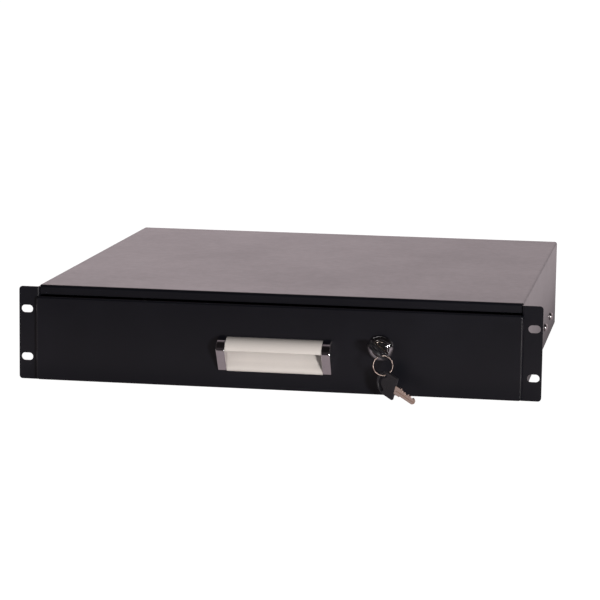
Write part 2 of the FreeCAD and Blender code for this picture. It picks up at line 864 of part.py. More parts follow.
def key_bow():
    """Moulded head with a rounded end and a crescent slot."""
    half = bow_width / 2
    centre = half - bow_length
    edges = []
    add_line(edges, (0, -half), (0, half))
    add_line(edges, (0, half), (centre, half))
    round_end = [flat(point) for point in ((centre, half), (-bow_length, 0), (centre, -half))]
    edges.append(Part.Arc(*round_end).toShape())
    add_line(edges, (centre, -half), (0, -half))
    slab = closed_face(edges).extrude(Vector(0, 0, bow_thickness))
    slab.translate(Vector(0, 0, -bow_thickness / 2))
    rims = [e for e in slab.Edges if abs(abs(e.CenterOfMass.z) - bow_thickness / 2) < 1e-3]
    slab = slab.makeChamfer(bow_chamfer, rims)
    low = key_bitted_width / 2
    thin = key_thickness / 2
    tang = block(-key_tang, 0, -low, low, -thin, thin)
    return slab.cut([tang, crescent(centre)])


def crescent(centre):
    """Curved slot with round ends, about a point on the bow's middle line."""
    middle = (bow_slot_inner + bow_slot_outer) / 2
    half = (bow_slot_outer - bow_slot_inner) / 2
    first = 180 - bow_slot_angle
    last = 180 + bow_slot_angle
    edges = []
    for radius in (bow_slot_inner, bow_slot_outer):
        points = [flat(polar((centre, 0), angle, radius)) for angle in (first, 180, last)]
        edges.append(Part.Arc(*points).toShape())
    for angle, onward in ((first, first - 90), (last, last + 90)):
        end = polar((centre, 0), angle, middle)
        points = [polar(end, angle, -half), polar(end, onward, half), polar(end, angle, half)]
        edges.append(Part.Arc(*[flat(point) for point in points]).toShape())
    slot = closed_face(edges).extrude(Vector(0, 0, 2 * bow_thickness))
    slot.translate(Vector(0, 0, -bow_thickness))
    return slot


def key_placed(solid, root, blade, width):
    blade = Vector(blade).normalize()
    width = (width - blade * width.dot(blade)).normalize()
    solid = solid.copy()
    solid.Placement = Placement(root, Rotation(blade, width, blade.cross(width), "XYZ"))
    return solid


def key_root():
    return Vector(lock_x, front_y - bezel_depth + plug_recess - key_neck, lock_z)


def lock_key(solid):
    angle = math.radians(90 + turn_from_up)
    return key_placed(solid, key_root(), Vector(0, 1, 0), Vector(math.cos(angle), 0, math.sin(angle)))


def spare_key(solid):
    return key_placed(solid, key_root() + spare_place, spare_blade_direction, spare_width_direction)


def key_ring():
    """Split ring: two turns of flat wire that lie together, taken as one."""
    half = ring_wire
    edge = ring_radius + ring_wire
    inside = ring_radius - ring_wire
    corners = [(inside, half), (edge - ring_bevel, half), (edge, half - ring_bevel),
               (edge, ring_bevel - half), (edge - ring_bevel, -half), (inside, -half)]
    section = Part.Face(Part.makePolygon([flat(point) for point in corners + corners[:1]]))
    ring = Part.makeSolid(section.revolve(Vector(0, 0, 0), Vector(0, 1, 0), 360).Shells[0])
    turn = Rotation(Vector(0, 0, 1), ring_yaw).multiply(Rotation(Vector(1, 0, 0), ring_pitch))
    ring.Placement = Placement(key_root() + ring_place, turn)
    return ring


def save_housing():
    save("housing", housing())
    save("front_lip", front_lip())
    save("rear_panel", rear_panel())
    save("base_ties", base_tie(ear_front_y + tie_inset), base_tie(housing_back_y - tie_inset))
    length = housing_sheet + slide_sheet
    screws = [placed_screw(pan_screw(length), Vector(s * half_housing, y, slide_z), Vector(s, 0, 0))
              for s in (1, -1) for y in side_screw_places]
    save("housing_screws", *screws)


def save_slides():
    pieces = {
        "slide_outer": [slide_outer()], "slide_middle": [slide_middle()], "slide_inner": [slide_inner()],
        "outer_cage": [outer_cage()], "inner_cage": [inner_cage()],
        "outer_balls": balls(outer_ball), "inner_balls": balls(inner_ball),
    }
    for name, solids in pieces.items():
        save(name + "_right", *solids)
        save(name + "_left", *[opposite(solid) for solid in solids])


def save_drawer():
    save("drawer_tray", tray())
    save("tray_end_front", tray_front_flat())
    save("tray_end_rear", tray_end_flat(tray_back_y, tray_back_y - tray_sheet))
    strips = {"tray_side": tray_side_flat(), "tray_hem": united([tray_hem_fold(), tray_hem_flat()])}
    for name, solid in strips.items():
        save(name + "_right", solid)
        save(name + "_left", opposite(solid))
    save("drawer_front", drawer_front())
    seat = tray_wall - tray_sheet
    length = tray_sheet + slide_sheet + screw_end
    screws = [placed_screw(pan_screw(length), Vector(s * seat, y, slide_z), Vector(-s, 0, 0))
              for s in (1, -1) for y in tray_screw_places]
    save("tray_screws", *screws)
    save("handle_grip", grip())
    save("handle_cap_right", end_cap(1))
    save("handle_cap_left", end_cap(-1))
    length = tray_front_inner_y - front_y + cap_screw_depth
    seats = [Vector(x, tray_front_inner_y, handle_screw_z()) for x in handle_screw_xs()]
    screws = [placed_screw(pan_screw(length), seat, Vector(0, 1, 0)) for seat in seats]
    save("handle_screws", *screws)


def save_lock():
    save("lock_body", lock_body())
    save("lock_nut", lock_nut())
    save("lock_plug", lock_plug())
    save("lock_cam", lock_cam())
    save("cam_screw", cam_screw())
    save("key_blade", lock_key(key_blade()))
    save("key_bow", lock_key(key_bow()))
    save("key_ring", key_ring())
    save("spare_key_blade", spare_key(key_blade()))
    save("spare_key_bow", spare_key(key_bow()))


os.makedirs("parts", exist_ok=True)
save_housing()
save_slides()
save_drawer()
save_lock()
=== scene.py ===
import bmesh
import bpy
import json
import math
from mathutils import Matrix, Vector


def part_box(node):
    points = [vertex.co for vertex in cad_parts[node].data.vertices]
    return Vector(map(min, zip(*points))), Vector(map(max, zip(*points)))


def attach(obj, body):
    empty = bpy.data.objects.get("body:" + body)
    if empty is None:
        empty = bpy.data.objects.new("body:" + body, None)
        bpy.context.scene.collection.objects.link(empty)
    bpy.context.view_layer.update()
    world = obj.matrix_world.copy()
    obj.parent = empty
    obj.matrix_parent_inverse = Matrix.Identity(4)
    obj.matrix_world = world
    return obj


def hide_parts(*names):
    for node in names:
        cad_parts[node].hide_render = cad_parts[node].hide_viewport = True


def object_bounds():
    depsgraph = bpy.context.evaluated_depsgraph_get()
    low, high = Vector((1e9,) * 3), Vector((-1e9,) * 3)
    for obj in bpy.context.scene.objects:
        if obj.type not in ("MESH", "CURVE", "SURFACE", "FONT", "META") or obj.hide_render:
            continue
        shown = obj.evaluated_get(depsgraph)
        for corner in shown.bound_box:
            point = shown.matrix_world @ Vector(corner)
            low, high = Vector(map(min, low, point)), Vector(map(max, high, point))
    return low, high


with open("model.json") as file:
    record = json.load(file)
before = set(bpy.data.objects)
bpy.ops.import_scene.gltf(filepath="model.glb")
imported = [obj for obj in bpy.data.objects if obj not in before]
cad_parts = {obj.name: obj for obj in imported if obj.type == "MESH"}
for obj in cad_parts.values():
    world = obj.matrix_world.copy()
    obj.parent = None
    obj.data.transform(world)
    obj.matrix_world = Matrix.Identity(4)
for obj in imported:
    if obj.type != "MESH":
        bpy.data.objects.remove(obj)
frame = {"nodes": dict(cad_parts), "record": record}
cad_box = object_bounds()
nodes = frame["nodes"]
bodies = frame["record"]["behaviour"]["bodies"]
MM = 0.001


# Materials

class Shader:
    """A principled material whose colour, roughness and relief come from noise in metres."""

    def __init__(self, name, colour, roughness, metallic=0.0, ior=1.45):
        self.material = bpy.data.materials.new(name)
        self.material.use_nodes = True
        self.tree = self.material.node_tree
        self.tree.nodes.clear()
        self.out = self.add("ShaderNodeOutputMaterial")
        self.bsdf = self.add("ShaderNodeBsdfPrincipled")
        self.link(self.bsdf.outputs[0], self.out.inputs[0])
        self.set("Base Color", (*colour, 1))
        self.set("Roughness", roughness)
        self.set("Metallic", metallic)
        self.set("IOR", ior)
        self.place = self.add("ShaderNodeTexCoord").outputs["Object"]
        self.normal = None

    def add(self, kind):
        return self.tree.nodes.new(kind)

    def link(self, source, target):
        self.tree.links.new(source, target)

    def set(self, name, value):
        self.bsdf.inputs[name].default_value = value

    def stretched(self, scale):
        mapping = self.add("ShaderNodeMapping")
        mapping.inputs["Scale"].default_value = scale
        self.link(self.place, mapping.inputs["Vector"])
        return mapping.outputs[0]

    def noise(self, size, detail=3.0, stretch=(1, 1, 1), rough=0.5):
        """Noise whose blobs are about size metres across."""
        node = self.add("ShaderNodeTexNoise")
        node.inputs["Scale"].default_value = 1 / size
        node.inputs["Detail"].default_value = detail
        node.inputs["Roughness"].default_value = rough
        self.link(self.stretched(stretch), node.inputs["Vector"])
        return node.outputs["Fac"]

    def ramp(self, source, low, high, first=0.0, last=1.0):
        node = self.add("ShaderNodeMapRange")
        node.inputs["From Min"].default_value = low
        node.inputs["From Max"].default_value = high
        node.inputs["To Min"].default_value = first
        node.inputs["To Max"].default_value = last
        self.link(source, node.inputs["Value"])
        return node.outputs[0]

    def math(self, kind, a, b):
        node = self.add("ShaderNodeMath")
        node.operation = kind
        for socket, value in zip(node.inputs, (a, b)):
            if isinstance(value, (int, float)):
                socket.default_value = value
            else:
                self.link(value, socket)
        return node.outputs[0]

    def tint(self, factor, other):
        """Mixes another colour into the base colour; sockets 6 and 7 of a mix are its two colours."""
        node = self.add("ShaderNodeMix")
        node.data_type = "RGBA"
        base = self.bsdf.inputs["Base Color"]
        if base.links:
            self.link(base.links[0].from_socket, node.inputs[6])
        else:
            node.inputs[6].default_value = base.default_value
        node.inputs[7].default_value = (*other, 1)
        self.link(factor, node.inputs[0])
        self.link(node.outputs[2], base)

    def vary_roughness(self, source, change):
        old = self.bsdf.inputs["Roughness"]
        shift = self.ramp(source, 0.3, 0.7, -change, change)
        start = old.links[0].from_socket if old.links else old.default_value
        self.link(self.math("ADD", start, shift), old)

    def bump(self, height, depth, strength=1.0):
        node = self.add("ShaderNodeBump")
        node.inputs["Distance"].default_value = depth
        node.inputs["Strength"].default_value = strength
        self.link(height, node.inputs["Height"])
        if self.normal is not None:
            self.link(self.normal, node.inputs["Normal"])
        self.normal = node.outputs[0]
        self.link(self.normal, self.bsdf.inputs["Normal"])

    def painted_recess_shade(self, reach, amount, colour):
        """Painted shade: darker where other surfaces stand close by."""
        shade = self.add("ShaderNodeAmbientOcclusion")
        shade.samples = 8
        shade.inputs["Distance"].default_value = reach
        self.tint(self.ramp(shade.outputs["AO"], 1.0, 0.35, 0.0, amount), colour)

    def edge_wear(self, amount, colour, width=0.0006):
        """Lighter where the surface bends sharply outwards."""
        bevel = self.add("ShaderNodeBevel")
        bevel.samples = 4
        bevel.inputs["Radius"].default_value = width
        geometry = self.add("ShaderNodeNewGeometry")
        dot = self.add("ShaderNodeVectorMath")
        dot.operation = "DOT_PRODUCT"
        self.link(bevel.outputs[0], dot.inputs[0])
        self.link(geometry.outputs["Normal"], dot.inputs[1])
        bent = self.ramp(dot.outputs["Value"], 1.0, 0.85, 0.0, amount)
        self.tint(self.math("MULTIPLY", bent, self.ramp(self.noise(0.004), 0.35, 0.65)), colour)


def powder_coat(name, colour, roughness=0.305):
    shader = Shader(name, colour, roughness, ior=1.32)
    grain = shader.noise(0.0011, 2.0)
    smudge = shader.noise(0.09, 4.0, (1, 1, 1), 0.6)
    shader.tint(shader.ramp(smudge, 0.45, 0.75, 0.0, 0.5), tuple(c * 1.6 for c in colour))
    shader.vary_roughness(smudge, 0.018)
    shader.vary_roughness(shader.noise(0.006, 3.0), 0.012)
    shader.bump(grain, 0.00003, 0.1)
    return shader.material


def bright_zinc(name, colour, roughness=0.3, along=(1, 1, 1)):
    shader = Shader(name, colour, roughness, metallic=1.0)
    bloom = shader.noise(0.012, 4.0)
    shader.tint(shader.ramp(bloom, 0.4, 0.7, 0.0, 0.35), (colour[0] * 0.8, colour[1] * 0.8, colour[2] * 0.88))
    lines = shader.noise(0.0008, 3.0, along)
    shader.vary_roughness(lines, 0.08)
    shader.bump(lines, 0.00001, 0.3)
    return shader.material


def chrome_plate(name, colour, roughness=0.07):
    shader = Shader(name, colour, roughness, metallic=1.0)
    haze = shader.noise(0.005, 4.0)
    shader.vary_roughness(haze, 0.02)
    shader.tint(shader.ramp(haze, 0.5, 0.8, 0.0, 0.3), tuple(c * 0.8 for c in colour))
    shader.bump(shader.noise(0.0025, 2.0), 0.00002, 0.25)
    return shader.material


def satin_aluminium(name, colour):
    shader = Shader(name, colour, 0.45, metallic=0.05, ior=1.25)
    # Painted shade on the grip: darker under the lip and where the caps stand close to the plate.
    shader.painted_recess_shade(0.02, 0.8, tuple(c * 0.45 for c in colour))
    lines = shader.noise(0.0006, 3.0, (0.03, 1, 1))
    shader.tint(shader.ramp(lines, 0.35, 0.7, 0.0, 0.25), tuple(c * 0.86 for c in colour))
    shader.vary_roughness(lines, 0.06)
    shader.bump(lines, 0.00001, 0.4)
    return shader.material


def moulded_plastic(name, colour, roughness=0.33):
    shader = Shader(name, colour, roughness, ior=1.5)
    shader.vary_roughness(shader.noise(0.004, 4.0), 0.06)
    shader.tint(shader.ramp(shader.noise(0.02, 3.0), 0.4, 0.8, 0.0, 0.3), tuple(c * 1.4 for c in colour))
    shader.bump(shader.noise(0.0005, 2.0), 0.00001, 0.15)
    return shader.material


def worn_nickel(name, nickel, brass):
    shader = Shader(name, nickel, 0.24, metallic=1.0)
    shader.edge_wear(0.9, brass)
    shader.tint(shader.ramp(shader.noise(0.003, 4.0), 0.45, 0.7, 0.0, 0.45), brass)
    scratches = shader.noise(0.0004, 3.0, (0.1, 1, 1))
    shader.vary_roughness(scratches, 0.1)
    shader.bump(scratches, 0.00001, 0.4)
    return shader.material


coat = powder_coat("black_coat", (0.0056, 0.0059, 0.0088))
tray_coat = powder_coat("tray_coat", (0.012, 0.012, 0.013), 0.38)
slide_zinc = bright_zinc("slide_zinc", (0.62, 0.63, 0.65), 0.28, (1, 0.04, 1))
cage_zinc = bright_zinc("cage_zinc", (0.5, 0.51, 0.53), 0.35, (1, 0.1, 1))
screw_zinc = bright_zinc("screw_zinc", (0.42, 0.4, 0.4), 0.3)
cam_steel = bright_zinc("cam_steel", (0.6, 0.6, 0.61), 0.3)
ball_steel = chrome_plate("ball_steel", (0.75, 0.75, 0.77), 0.05)
grip_satin = satin_aluminium("grip_satin", (0.87, 0.82, 0.775))
cap_chrome = chrome_plate("cap_chrome", (0.66, 0.63, 0.65), 0.1)
lock_chrome = chrome_plate("lock_chrome", (0.36, 0.36, 0.37), 0.09)
ring_nickel = bright_zinc("ring_nickel", (0.2, 0.16, 0.14), 0.42)
key_nickel = worn_nickel("key_nickel", (0.75, 0.635, 0.55), (0.82, 0.645, 0.48))
bow_plastic = moulded_plastic("bow_plastic", (0.013, 0.013, 0.016))

finishes = {
    "black_coat": coat, "tray_coat": tray_coat, "slide_zinc": slide_zinc, "cage_zinc": cage_zinc,
    "screw_zinc": screw_zinc, "cam_steel": cam_steel, "ball_steel": ball_steel, "grip_satin": grip_satin,
    "cap_chrome": cap_chrome, "lock_chrome": lock_chrome, "ring_nickel": ring_nickel,
    "key_nickel": key_nickel, "bow_plastic": bow_plastic,
}
for part in frame["record"]["subparts"]:
    for material_slot in nodes[part["node"]].material_slots:
        material_slot.material = finishes[part["material_slot"]]


# Shapes of the visible pieces, in millimetres until they are placed

lock_joint = next(joint for joint in frame["record"]["behaviour"]["joints"] if joint["name"] == "lock_turn")
turn_from_up = math.radians(lock_joint["range_deg"][1])
grip_drop = 11.0
grip_wall = 2.0
lip_rise = 6.2
lip_reach = 3.7
lip_blend = 4.0
cap_foot = 3.2
edge_round = 0.9
grip_rounding = 0.2
cap_rounding = 0.85


def corners(node):
    low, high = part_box(node)
    return low / MM, high / MM


def quarter(flat_end, upright_end, count=24):
    """Quarter of an ellipse, level where it starts and upright where it ends."""
    points = []
    for i in range(count + 1):
        angle = math.pi / 2 * i / count
        across = flat_end[0] + (upright_end[0] - flat_end[0]) * math.sin(angle)
        high = upright_end[1] + (flat_end[1] - upright_end[1]) * math.cos(angle)
        points.append((across, high))
    return points


def skin(rings, closed=False):
    """Surface over a chain of rings with as many points each; an open chain gets ends."""
    shape = bmesh.new()
    rows = [[shape.verts.new(Vector(point) * MM) for point in ring] for ring in rings]
    pairs = list(zip(rows, rows[1:]))
    if closed:
        pairs.append((rows[-1], rows[0]))
    for one, other in pairs:
        for i in range(len(one)):
            shape.faces.new((one[i - 1], one[i], other[i], other[i - 1]))
    if not closed:
        shape.faces.new(rows[0])
        shape.faces.new(rows[-1])
    bmesh.ops.recalc_face_normals(shape, faces=shape.faces)
    return shape


def joined(shapes):
    whole = bmesh.new()
    for shape in shapes:
        part_mesh = bpy.data.meshes.new("part")
        shape.to_mesh(part_mesh)
        shape.free()
        whole.from_mesh(part_mesh)
        bpy.data.meshes.remove(part_mesh)
    return whole


def add_piece(name, shape, slot, body, replaced, rounding=0.0, sharp=28.0):
    mesh = bpy.data.meshes.new(name)
    shape.to_mesh(mesh)
    shape.free()
    mesh.polygons.foreach_set("use_smooth", [True] * len(mesh.polygons))
    mesh.set_sharp_from_angle(angle=math.radians(sharp))
    mesh.materials.append(finishes[slot])
    piece = bpy.data.objects.new(name, mesh)
    bpy.context.scene.collection.objects.link(piece)
    if rounding:
        bevel = piece.modifiers.new("rounding", "BEVEL")
        bevel.width = rounding * MM
        bevel.segments = 3
        bevel.limit_method = "ANGLE"
        bevel.angle_limit = math.radians(35)
        bevel.harden_normals = True
    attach(piece, body)
    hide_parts(replaced)


def along(outline, start, end):
    """Rings of one outline in the Y and Z axes, from one X to another."""
    return [[(x, y, z) for y, z in outline] for x in (start, end)]


# Handle

def lip_outline(plate_front, lip, foot):
    """Plate flowing out into the rounded lip, and the lip's underside."""
    points = []
    high = foot + lip_rise + lip_blend
    middle = foot + lip_rise / 2
    steps = 18
    for i in range(steps + 1):
        share = i / steps
        ease = share * share * (3 - 2 * share)
        points.append((plate_front + (lip - plate_front) * ease, high + (middle - high) * share))
    return points + quarter((plate_front, foot), (lip, middle), 12)[-2::-1]


def make_grip():
    low, high = corners("handle_grip")
    face, top, bar, foot = high.y, high.z, low.y, low.z
    drop = top - grip_drop
    plate_front = face - grip_wall
    outline = quarter((face, top), (bar, drop + edge_round))
    outline += quarter((bar + edge_round, drop), (bar, drop + edge_round), 10)[-2::-1]
    outline += quarter((plate_front, top - grip_wall), (bar + grip_wall, drop))[::-1]
    outline += lip_outline(plate_front, face - lip_reach, foot)
    outline.append((face, foot))
    shape = skin(along(outline, low.x, high.x))
    add_piece("grip_profile", shape, "grip_satin", "drawer", "handle_grip", grip_rounding)


def make_cap(side):
    node = "handle_cap_" + side
    low, high = corners(node)
    drop = corners("handle_grip")[1].z - grip_drop
    outline = quarter((high.y, high.z), (low.y, drop), 32)
    outline += [(high.y - cap_foot, low.z), (high.y, low.z)]
    shape = skin(along(outline, low.x, high.x))
    add_piece("end_cap_" + side, shape, "cap_chrome", "drawer", node, cap_rounding)


make_grip()
make_cap("left")
make_cap("right")


# Lock

lock_x = lock_joint["pos_m"][0] / MM
lock_z = lock_joint["pos_m"][2] / MM
bezel_depth = 5.0
bezel_radius = 11.3
barrel_radius = 9.4
barrel_flats = 16.6
plug_radius = 5.9
plug_head_radius = 7.0
thread_pitch = 1.0
thread_depth = 0.35
barrel_chamfer = 0.4
barrel_plain_front = 1.6
barrel_plain_back = 1.2
bore_clearance = 0.05
mouth_radius = 7.2
mouth_depth = 3.2
# Insets from the bezel's radius and depths behind its face, from the rim to the flat
crown_rim = ((0, 1.5), (0.12, 1.2), (0.4, 1.0), (0.75, 1.05), (0.95, 1.25), (1.25, 1.05), (1.9, 0.55),
             (2.6, 0.15), (3.2, 0))
# Radii and depths of the rounding into the mouth
crown_mouth = ((7.75, 0.05), (7.45, 0.25), (7.25, 0.6), (mouth_radius, 0.9))
# Radii and depths of the plug's face, outwards from the key slot's mouth
plug_rims = ((5.2, 0.12), (5.45, 0.35), (5.7, 0.12), (6.1, 0), (6.6, 0), (6.88, 0.12),
             (plug_head_radius, 0.4))
plug_shoulder_depth = 2.35
plug_tail_length = 2.05
plug_tail_half = 3.45
plug_slot = (4.4, 1.2)
plug_slot_mouth = (4.75, 1.55)
plug_slot_depth = 20.0


def turned(profile, x, z, count=96, flats=None):
    """Rings about an axis along Y, from radii and places along it; flats cut the barrel's rings."""
    rings = []
    for radius, y in profile:
        ring = []
        for i in range(count):
            angle = 2 * math.pi * i / count
            rise = radius * math.sin(angle)
            if flats and radius <= barrel_radius:
                rise = max(-flats / 2, min(flats / 2, rise))
            ring.append((x + radius * math.cos(angle), y, z + rise))
        rings.append(ring)
    return rings


def thread(radius, start, end):
    """Profile of a threaded stretch."""
    turns = int((end - start) / thread_pitch)
    profile = []
    for i in range(turns):
        y = start + i * thread_pitch
        profile += [(radius, y), (radius - thread_depth, y + thread_pitch / 2)]
    return profile + [(radius, start + turns * thread_pitch)]


def make_lock_body():
    low, high = corners("lock_body")
    face, back = low.y, high.y
    front = face + bezel_depth
    crown = [(bezel_radius, front)]
    crown += [(bezel_radius - inset, face + depth) for inset, depth in crown_rim]
    crown += [(radius, face + depth) for radius, depth in crown_mouth]
    bore = plug_radius + bore_clearance
    seat = face + mouth_depth
    profile = [(bore, back), (barrel_radius - barrel_chamfer, back), (barrel_radius, back - barrel_chamfer)]
    profile += thread(barrel_radius, front + barrel_plain_front, back - barrel_plain_back)[::-1]
    profile += [(barrel_radius, front)] + crown + [(mouth_radius, seat), (bore, seat)]
    shape = skin(turned(profile, lock_x, lock_z, flats=barrel_flats), closed=True)
    add_piece("lock_bezel", shape, "lock_chrome", "drawer", "lock_body", 0.0, 40.0)


def plug_ring(radius_at, y, count=72):
    """Ring about the lock's axis, whose radius depends on the angle from the key slot's length."""
    ring = []
    for i in range(count):
        angle = 2 * math.pi * (i + 0.5) / count
        radius = radius_at(angle)
        around = math.pi / 2 + turn_from_up + angle
        ring.append((lock_x + radius * math.cos(around), y, lock_z + radius * math.sin(around)))
    return ring


def oblong(half_length, half_width):
    """Radius of a rectangle's edge at an angle from its length."""
    def radius_at(angle):
        to_end = half_length / max(abs(math.cos(angle)), 1e-6)
        to_side = half_width / max(abs(math.sin(angle)), 1e-6)
        return min(to_end, to_side)
    return radius_at


def circle(radius):
    return lambda angle: radius


def make_plug():
    low, high = corners("lock_plug")
    face, end = low.y, high.y
    shoulder = face + plug_shoulder_depth
    back = end - plug_tail_length
    slot, mouth, tail = oblong(*plug_slot), oblong(*plug_slot_mouth), oblong(plug_tail_half, plug_tail_half)
    rings = [plug_ring(slot, face + plug_slot_depth), plug_ring(slot, face + 0.5)]
    rings.append(plug_ring(mouth, face + 0.12))
    rings += [plug_ring(circle(radius), face + depth) for radius, depth in plug_rims]
    rings += [plug_ring(circle(plug_head_radius), shoulder), plug_ring(circle(plug_radius), shoulder),
              plug_ring(circle(plug_radius), back), plug_ring(tail, back), plug_ring(tail, end)]
    add_piece("plug_face", skin(rings), "lock_chrome", "plug", "lock_plug", 0.0, 35.0)


make_lock_body()
make_plug()


# Keys and ring

key_thickness = 2.0
key_width = 8.4
key_bitted_width = 6.2
key_shoulder = 6.0
key_step = 1.0
key_length = 23.3
key_tip = 2.0
key_tang = 7.0
key_bites = ((9.0, 1.3), (12.4, 2.0), (15.6, 0.9), (18.8, 1.6))
groove_places = ((1, 0.9), (-1, -0.2))
groove_half = 0.6
groove_depth = 0.5
groove_start = 1.5
groove_runout = 0.4
blade_edge = 0.12
bite_flat = 0.15
tip_taper = 0.82
bow_width = 22.5
bow_length = 22.0
bow_thickness = 2.6
slot_inner = 5.9
slot_outer = 9.7
slot_angle = 65.0
bow_rounding = 0.45
pad_rise = 0.3
pad_rounding = 0.15
ring_radius = 8.75
ring_wire = (0.52, 0.33)
ring_yaw = 15.6
ring_pitch = -8.7
ring_from = 8
ring_sweep = 704
ring_crossing = 28.0
ring_start = 200
wire_squareness = 0.7
spare_place = Vector((17.96, -24.37, -31.2))
spare_blade = Vector((0.793, -0.4897, -0.3624))
spare_width = Vector((-0.2468, 0.2857, -0.926))


def key_frame(root, blade, width):
    """Placing function for a key drawn with its blade along X and its width along Y."""
    blade = blade.normalized()
    width = (width - blade * width.dot(blade)).normalized()
    thickness = blade.cross(width)
    return lambda x, y, z: root + blade * x + width * y + thickness * z


def blade_section(low, high, grooved):
    """Cross-section of the blade, with a groove in each broad face."""
    half = key_thickness / 2
    points = []
    for side, (sign, middle) in zip((1, -1), groove_places):
        depth = groove_depth if grooved else 0.0
        floor_half = groove_half * 0.6
        row = [(low + blade_edge, half), (middle - groove_half, half), (middle - floor_half, half - depth),
               (middle + floor_half, half - depth), (middle + groove_half, half), (high - blade_edge, half)]
        row = [(y, sign * z) for y, z in row]
        points += row if side > 0 else row[::-1]
        points.append((high, 0.0) if side > 0 else (low, 0.0))
    return points


def blade_stations():
    """Places along the blade, with its lower and upper edge and whether it is grooved at each."""
    half = key_width / 2
    low = key_bitted_width / 2
    step_end = key_shoulder + key_step
    rows = [(-key_tang, -low, low, False), (-0.01, -low, low, False), (0, -half, half, False),
            (groove_start, -half, half, False), (groove_start + groove_runout, -half, half, True),
            (key_shoulder, -half, half, True), (step_end, -low, low, True)]
    for place, depth in key_bites:
        rows += [(place - depth, -low, low, True), (place - bite_flat, depth - low, low, True),
                 (place + bite_flat, depth - low, low, True), (place + depth, -low, low, True)]
    near_tip = low * tip_taper
    rows += [(key_length - key_tip, -low, low, True), (key_length - key_tip / 2, -near_tip, near_tip, True),
             (key_length, -low / 2, low / 2, True)]
    return rows


def make_blade(name, place, body, node):
    rings = [[place(x, y, z) for y, z in blade_section(low, high, grooved)]
             for x, low, high, grooved in blade_stations()]
    add_piece(name, skin(rings), "key_nickel", body, node, 0.0, 30.0)


def arc(centre, radius, first, last, count):
    points = []
    for i in range(count + 1):
        angle = math.radians(first + (last - first) * i / count)
        points.append((centre[0] + radius * math.cos(angle), centre[1] + radius * math.sin(angle)))
    return points


def bow_outline():
    half = bow_width / 2
    corner = 1.0
    centre = half - bow_length
    points = arc((-corner, -half + corner), corner, -90, 0, 5)
    points += arc((-corner, half - corner), corner, 0, 90, 5)
    return points + arc((centre, 0), half, 90, 270, 48)


def slot_outline():
    """Crescent slot with round ends."""
    centre = (bow_width / 2 - bow_length, 0)
    middle = (slot_inner + slot_outer) / 2
    half = (slot_outer - slot_inner) / 2
    first, last = 180 - slot_angle, 180 + slot_angle
    start = arc(centre, middle, first, first, 1)[0]
    end = arc(centre, middle, last, last, 1)[0]
    points = arc(centre, slot_outer, first, last, 28) + arc(end, half, last, last + 180, 8)[1:]
    points += arc(centre, slot_inner, last, first, 22)[1:]
    return points + arc(start, half, first - 180, first, 8)[1:-1]


def pad_outline():
    """Raised panel between the slot and the blade."""
    corner = 0.8
    left, right, half = -8.2, -1.6, 8.6
    points = []
    for first, x, y in ((-90, right - corner, corner - half), (0, right - corner, half - corner),
                        (90, left + corner, half - corner), (180, left + corner, corner - half)):
        points += arc((x, y), corner, first, first + 90, 4)
    return points


def plate(outlines, thickness, rounding, place):
    """Plate with rounded rims, from its outline and its holes' outlines."""
    curve = bpy.data.curves.new("plate", "CURVE")
    curve.dimensions = "2D"
    curve.fill_mode = "BOTH"
    curve.extrude = thickness / 2 - rounding
    curve.bevel_depth = rounding
    curve.bevel_resolution = 3
    curve.offset = -rounding
    for outline in outlines:
        spline = curve.splines.new("POLY")
        spline.points.add(len(outline) - 1)
        for point, (x, y) in zip(spline.points, outline):
            point.co = (x, y, 0, 1)
        spline.use_cyclic_u = True
    holder = bpy.data.objects.new("plate", curve)
    mesh = bpy.data.meshes.new_from_object(holder)
    shape = bmesh.new()
    shape.from_mesh(mesh)
    bpy.data.objects.remove(holder)
    bpy.data.curves.remove(curve)
    bpy.data.meshes.remove(mesh)
    bmesh.ops.remove_doubles(shape, verts=shape.verts, dist=1e-4)
    for vert in shape.verts:
        vert.co = place(*vert.co) * MM
    bmesh.ops.recalc_face_normals(shape, faces=shape.faces)
    return shape


def make_bow(name, place, body, node):
    shapes = [plate([bow_outline(), slot_outline()], bow_thickness - pad_rise, bow_rounding, place),
              plate([pad_outline()], bow_thickness, pad_rounding, place)]
    add_piece(name, joined(shapes), "bow_plastic", body, node, 0.0, 32.0)


def make_ring():
    """Split ring: flat wire that lies in two turns and crosses from one to the other."""
    low, high = corners("key_ring")
    centre = (low + high) / 2
    turn = Matrix.Rotation(math.radians(ring_yaw), 3, "Z") @ Matrix.Rotation(math.radians(ring_pitch), 3, "X")
    radial_half, axial_half = ring_wire
    steps, points = 220, 12
    rings = []
    for i in range(steps + 1):
        degrees = ring_from + ring_sweep * i / steps
        share = max(0.0, min(1.0, (degrees - 360 + ring_crossing / 2) / ring_crossing))
        shift = axial_half * (2 * share * share * (3 - 2 * share) - 1)
        angle = math.radians(degrees + ring_start)
        outward = Vector((math.cos(angle), 0, math.sin(angle)))
        ring = []
        for k in range(points):
            around = 2 * math.pi * k / points
            cosine, sine = math.cos(around), math.sin(around)
            across = radial_half * math.copysign(abs(cosine) ** wire_squareness, cosine)
            axial = axial_half * math.copysign(abs(sine) ** wire_squareness, sine)
            local = outward * (ring_radius + across) + Vector((0, shift + axial, 0))
            ring.append(centre + turn @ local)
        rings.append(ring)
    add_piece("split_ring", skin(rings), "ring_nickel", "ring", "key_ring", 0.0, 50.0)


key_root = Vector((lock_x, corners("key_bow")[1].y, lock_z))
across_slot = Vector((-math.sin(turn_from_up), 0, math.cos(turn_from_up)))
lock_key = key_frame(key_root, Vector((0, 1, 0)), across_slot)
spare_key = key_frame(key_root + spare_place, spare_blade, spare_width)
make_blade("lock_key_blade", lock_key, "key", "key_blade")
make_bow("lock_key_bow", lock_key, "key", "key_bow")
make_blade("hanging_key_blade", spare_key, "spare_key", "spare_key_blade")
make_bow("hanging_key_bow", spare_key, "spare_key", "spare_key_bow")
make_ring()


# Screws

